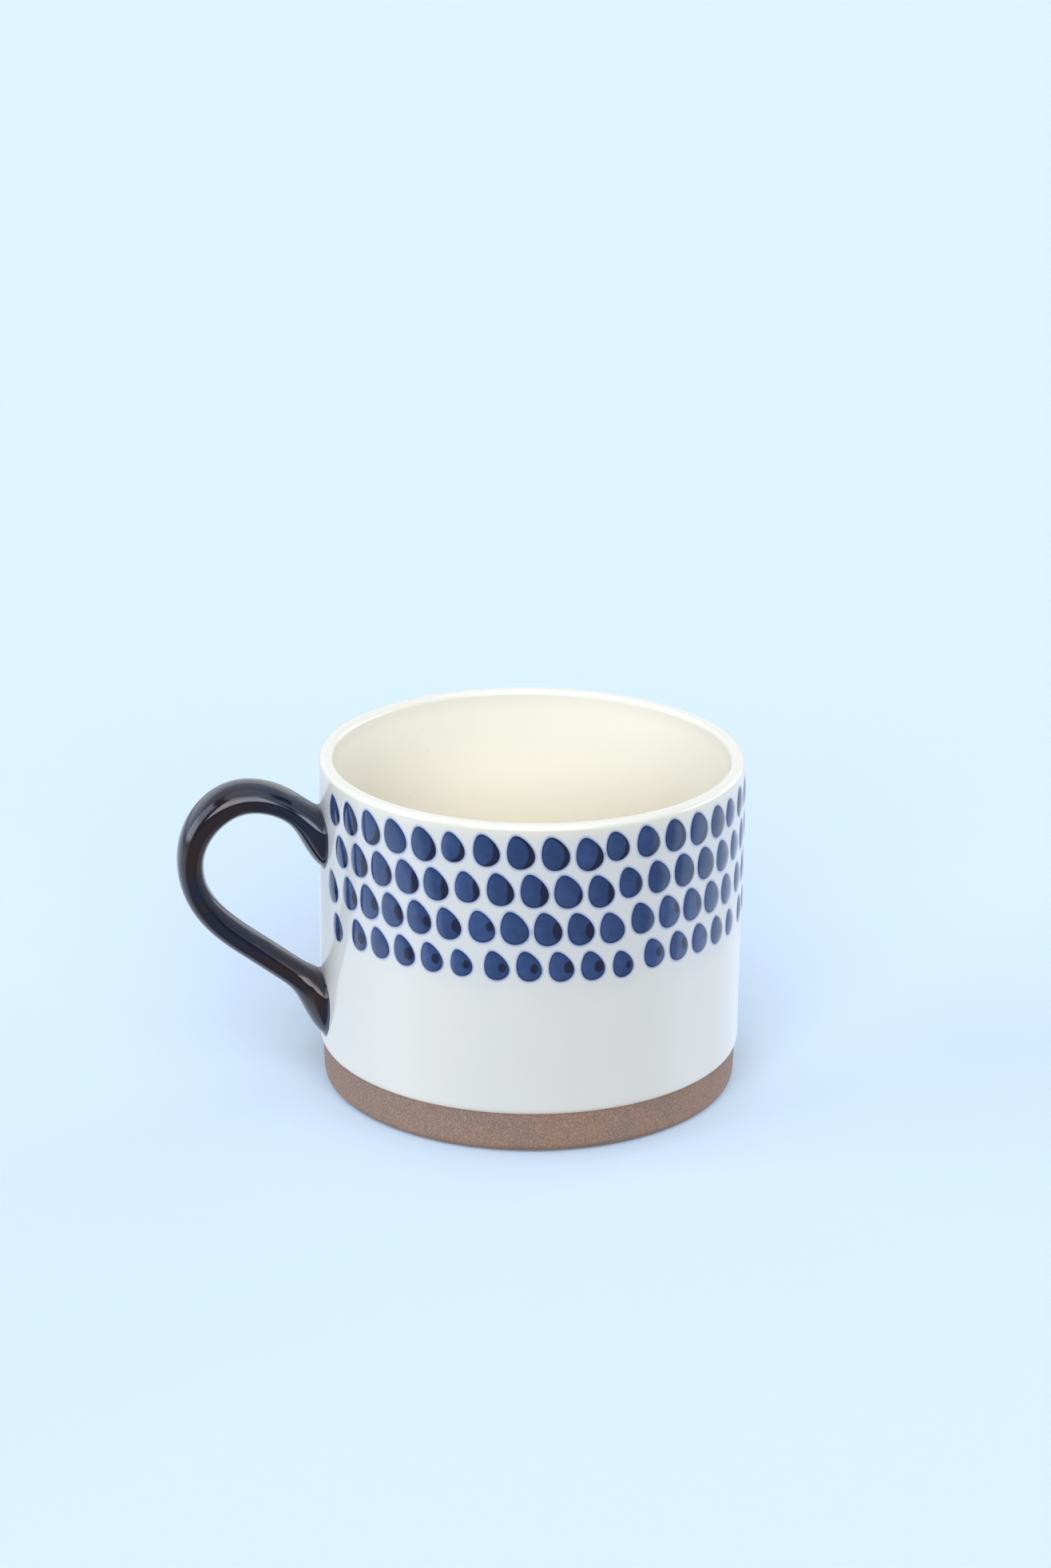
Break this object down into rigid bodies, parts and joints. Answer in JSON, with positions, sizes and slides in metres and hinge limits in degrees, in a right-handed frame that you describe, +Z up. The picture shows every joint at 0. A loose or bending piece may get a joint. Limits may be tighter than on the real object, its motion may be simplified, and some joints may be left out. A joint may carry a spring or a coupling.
{
  "type": "mug",
  "caption": "Straight-sided stoneware mug with a bare clay base band, rows of raised glaze drops and a dark glazed loop handle luted on at two joints.",
  "frame": {"origin": "centre of the foot's flat ring, on the axis of the cup, in the plane the mug stands on", "axes": "+Z up along the axis of the cup; the handle points along -X and lies in the XZ plane; +Y completes the right-handed frame"},
  "size_m": [0.1233, 0.0926, 0.074],
  "materials": {
    "bare_clay": "matt unglazed stoneware with fine speckles",
    "white_glaze": "glossy white glaze",
    "cream_glaze": "glossy cream liner glaze",
    "cobalt_drops": "glossy raised cobalt blue",
    "luting_slip": "fired clay slip, hidden in the joints",
    "handle_core": "fired stoneware clay under the glaze",
    "dark_glaze": "glossy blue-black glaze"
  },
  "bodies": {
    "root": {"clay_body": "bare_clay", "outer_glaze": "white_glaze", "inner_glaze": "cream_glaze", "drops_row_1": "cobalt_drops", "drops_row_2": "cobalt_drops", "drops_row_3": "cobalt_drops", "drops_row_4": "cobalt_drops", "upper_slip": "luting_slip", "lower_slip": "luting_slip", "handle_clay": "handle_core", "handle_glaze": "dark_glaze"}
  },
  "joints": []
}
